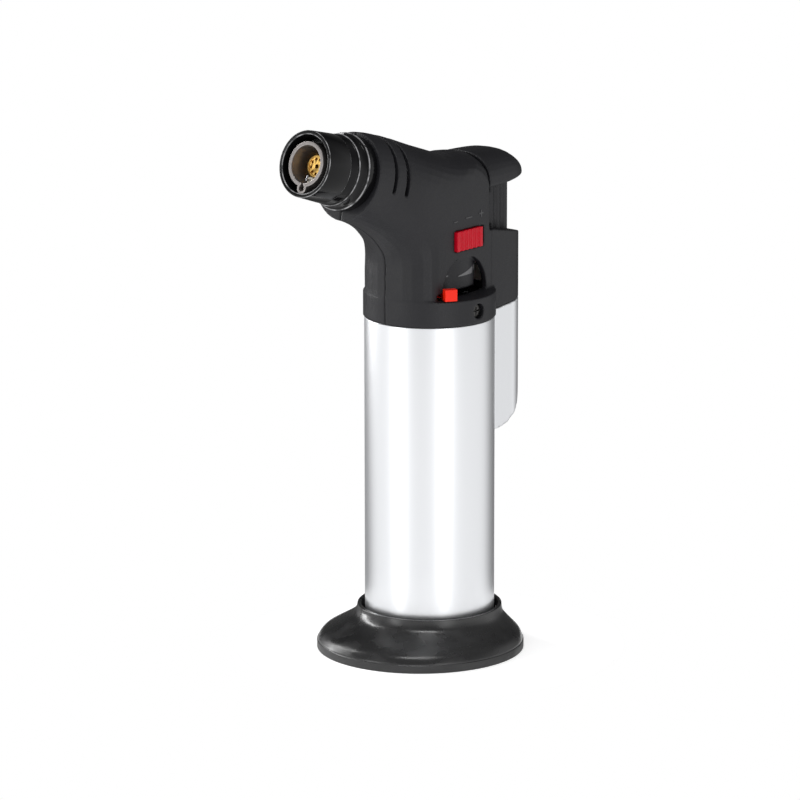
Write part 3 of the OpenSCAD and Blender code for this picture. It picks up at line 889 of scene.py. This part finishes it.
@dataclass
class Controls:
    """Thumb button, safety slider and flame lever."""

    taper: float = 0.08
    flat: float = 13.6
    slider_height: float = 129.0
    slider_ends: tuple[float, float] = (-3.8, 8.9)
    ribs: int = 6
    groove: float = 0.78
    groove_front: float = 1.15

    def deepened(self, slider: bpy.types.Object) -> None:
        """Cuts the grooves between the slider's ribs deeper, with one round bar for each."""
        low, high = self.slider_ends
        for k in range(1, self.ribs):
            bpy.ops.object.select_all(action="DESELECT")
            bpy.ops.mesh.primitive_cylinder_add(vertices=32, radius=self.groove * MM, depth=8 * MM)
            bar = started("groove_bar")
            x = low + (high - low) * k / self.ribs
            on_flat = Matrix.Rotation(math.atan(self.taper), 4, "Z")
            origin = Matrix.Translation(Vector((0, -self.flat, self.slider_height)) * MM)
            settled(bar, origin @ on_flat @ Matrix.Translation(Vector((x, -self.groove_front, 0)) * MM))
            modified(slider, "BOOLEAN", operation="DIFFERENCE", object=bar)
            bpy.data.objects.remove(bar)

    def build(self) -> None:
        """Builds what the hand touches."""
        button = moulded_copy("trigger_button", "thumb_button", 0.3, 4)
        fitted(button, "trigger", "matte_black", MATTE_BLACK, "trigger_button")
        slider = whole_copy("lock_slider", "safety_slider")
        self.deepened(slider)
        rounded(slider, 0.3, 3)
        fitted(slider, "lock", "crimson_plastic", CRIMSON, "lock_slider")
        lever = eased_copy("gas_adjuster", "flame_lever_knob", 0.55, 4)
        fitted(lever, "flame_lever", "red_orange_plastic", RED_ORANGE, "gas_adjuster")


@dataclass
class Works:
    """What is inside the head and shows only through its openings."""

    def build(self) -> None:
        """Dresses the valve, the igniter and the rocker."""
        for node, finish in {
            "outlet_valve_body": BRASS,
            "valve_stem": BRASS,
            "valve_spring": SPRING_WIRE,
            "valve_seal": SEAL_RUBBER,
            "ignition_lead": LEAD_SKIN,
            "ground_lead": LEAD_SKIN,
            "piezo_body": CASE_BLACK,
            "piezo_plunger": PALE,
            "piezo_spring": SPRING_WIRE,
            "rocker_lever": BARE_STEEL,
            "rocker_pin": BARE_STEEL,
        }.items():
            dressed(node, finish)


# ---- Studio ----


@dataclass(frozen=True)
class Paper(Finish):
    """White sweep that glows a little, so that it stays even."""

    glow: float = 0.55

    def build(self, graph: Graph) -> None:
        """Faint paper tooth on a white that fills in its own shadows."""
        tooth = graph.noise(1.5, 3.0)
        colour = graph.mixed(tooth, scaled(self.colour, 0.985), self.colour)
        inputs = {
            "Base Color": colour,
            "Roughness": self.roughness,
            "Specular IOR Level": 0.1,
            "Emission Color": self.colour,
            "Emission Strength": self.glow,
        }
        graph.surface(inputs, tooth, 0.02)


@dataclass(frozen=True)
class Softbox:
    """A soft light round the torch."""

    name: str
    azimuth: float
    elevation: float
    distance: float
    width: float
    height: float
    power: float

    def build(self, target: Vector) -> None:
        """Hangs the light and turns it to the target."""
        light = bpy.data.lights.new(self.name, "AREA")
        light.shape = "RECTANGLE"
        light.size, light.size_y, light.energy = self.width, self.height, self.power
        lamp = bpy.data.objects.new(self.name, light)
        bpy.context.scene.collection.objects.link(lamp)
        away = direction(self.azimuth, self.elevation)
        lamp.location = target + away * self.distance
        lamp.rotation_euler = away.to_track_quat("Z", "Y").to_euler()


def direction(azimuth: float, elevation: float) -> Vector:
    """Unit vector towards a place; azimuth 0 is -Y and 90 is +X, in degrees."""
    a, e = math.radians(azimuth), math.radians(elevation)
    return Vector((math.sin(a) * math.cos(e), -math.cos(a) * math.cos(e), math.sin(e)))


@dataclass
class Studio:
    """Floor, lights, surroundings and camera."""

    azimuth: float = -48.0
    elevation: float = 13.215
    distance: float = 1.5
    lens: float = 219.85
    aim: float = 0.078
    shift: tuple[float, float] = (-0.0369, -0.0032)
    behind: float = 0.1
    overhead: float = 0.3
    table: float = 0.06

    def lights(self) -> tuple[Softbox, ...]:
        """The lights: two tall side boxes, one above and a low one behind."""
        return (
            Softbox("left_box", -103, 0, 1.1, 0.13, 1.3, 2.8),
            Softbox("right_box", -22, 0, 1.1, 0.13, 1.3, 2.6),
            Softbox("top_box", -60, 76, 1.2, 0.45, 0.25, 3.2),
            Softbox("left_rim", -168, 22, 1.1, 0.2, 0.9, 7),
        )

    def surroundings(self) -> None:
        """White to the camera; to the torch bright in front, dark behind and dim overhead."""
        world = bpy.data.worlds.new("surroundings")
        bpy.context.scene.world = world
        graph = Graph(world)
        seen = graph.value("ShaderNodeLightPath", {}, {}, "Is Camera Ray")
        ray = graph.value("ShaderNodeTexCoord", {}, {}, "Generated")
        front = {0: ray, 1: direction(self.azimuth, 0)}
        facing = graph.value("ShaderNodeVectorMath", {"operation": "DOT_PRODUCT"}, front, "Value")
        height = graph.value("ShaderNodeSeparateXYZ", {}, {"Vector": ray}, "Z")
        lit = self.behind + graph.ramp(facing, -0.75, -0.35) * (1 - self.behind)
        lit = lit * (1 - graph.ramp(height, 0.05, 0.6) * (1 - self.overhead))
        strength = seen + (1 - seen) * lit
        back = graph.node("ShaderNodeBackground", {}, {"Color": (1, 1, 1), "Strength": strength})
        out = graph.node("ShaderNodeOutputWorld")
        graph.tree.links.new(back.outputs[0], out.inputs[0])

    def floor(self) -> None:
        """A round white table, no wider than the light on it needs."""
        bpy.ops.object.select_all(action="DESELECT")
        bpy.ops.mesh.primitive_circle_add(vertices=96, radius=self.table, fill_type="NGON")
        paper = started("floor")
        paper.data.materials.append(Paper("white_paper", (0.93, 0.93, 0.93), 0.8).material())

    def camera(self) -> None:
        """The camera, with a long lens."""
        data = bpy.data.cameras.new("camera")
        data.lens, data.sensor_width = self.lens, 36
        data.shift_x, data.shift_y = self.shift
        viewer = bpy.data.objects.new("camera", data)
        bpy.context.scene.collection.objects.link(viewer)
        away = direction(self.azimuth, self.elevation)
        viewer.location = Vector((0, 0, self.aim)) + away * self.distance
        viewer.rotation_euler = (-away).to_track_quat("-Z", "Y").to_euler()
        bpy.context.scene.camera = viewer

    def build(self) -> None:
        """Sets up everything round the torch."""
        bpy.context.scene.view_settings.view_transform = "Standard"
        self.camera()
        self.floor()
        self.surroundings()
        for light in self.lights():
            light.build(Vector((0, 0, self.aim)))


def main() -> None:
    """Builds the torch from the floor up."""
    logging.basicConfig(level=logging.INFO, format="%(name)s: %(message)s")
    for part in (Studio(), Foot(), Tank(), Nozzle(), Head(), Controls(), Works()):
        part.build()


if __name__ == "__main__":
    main()
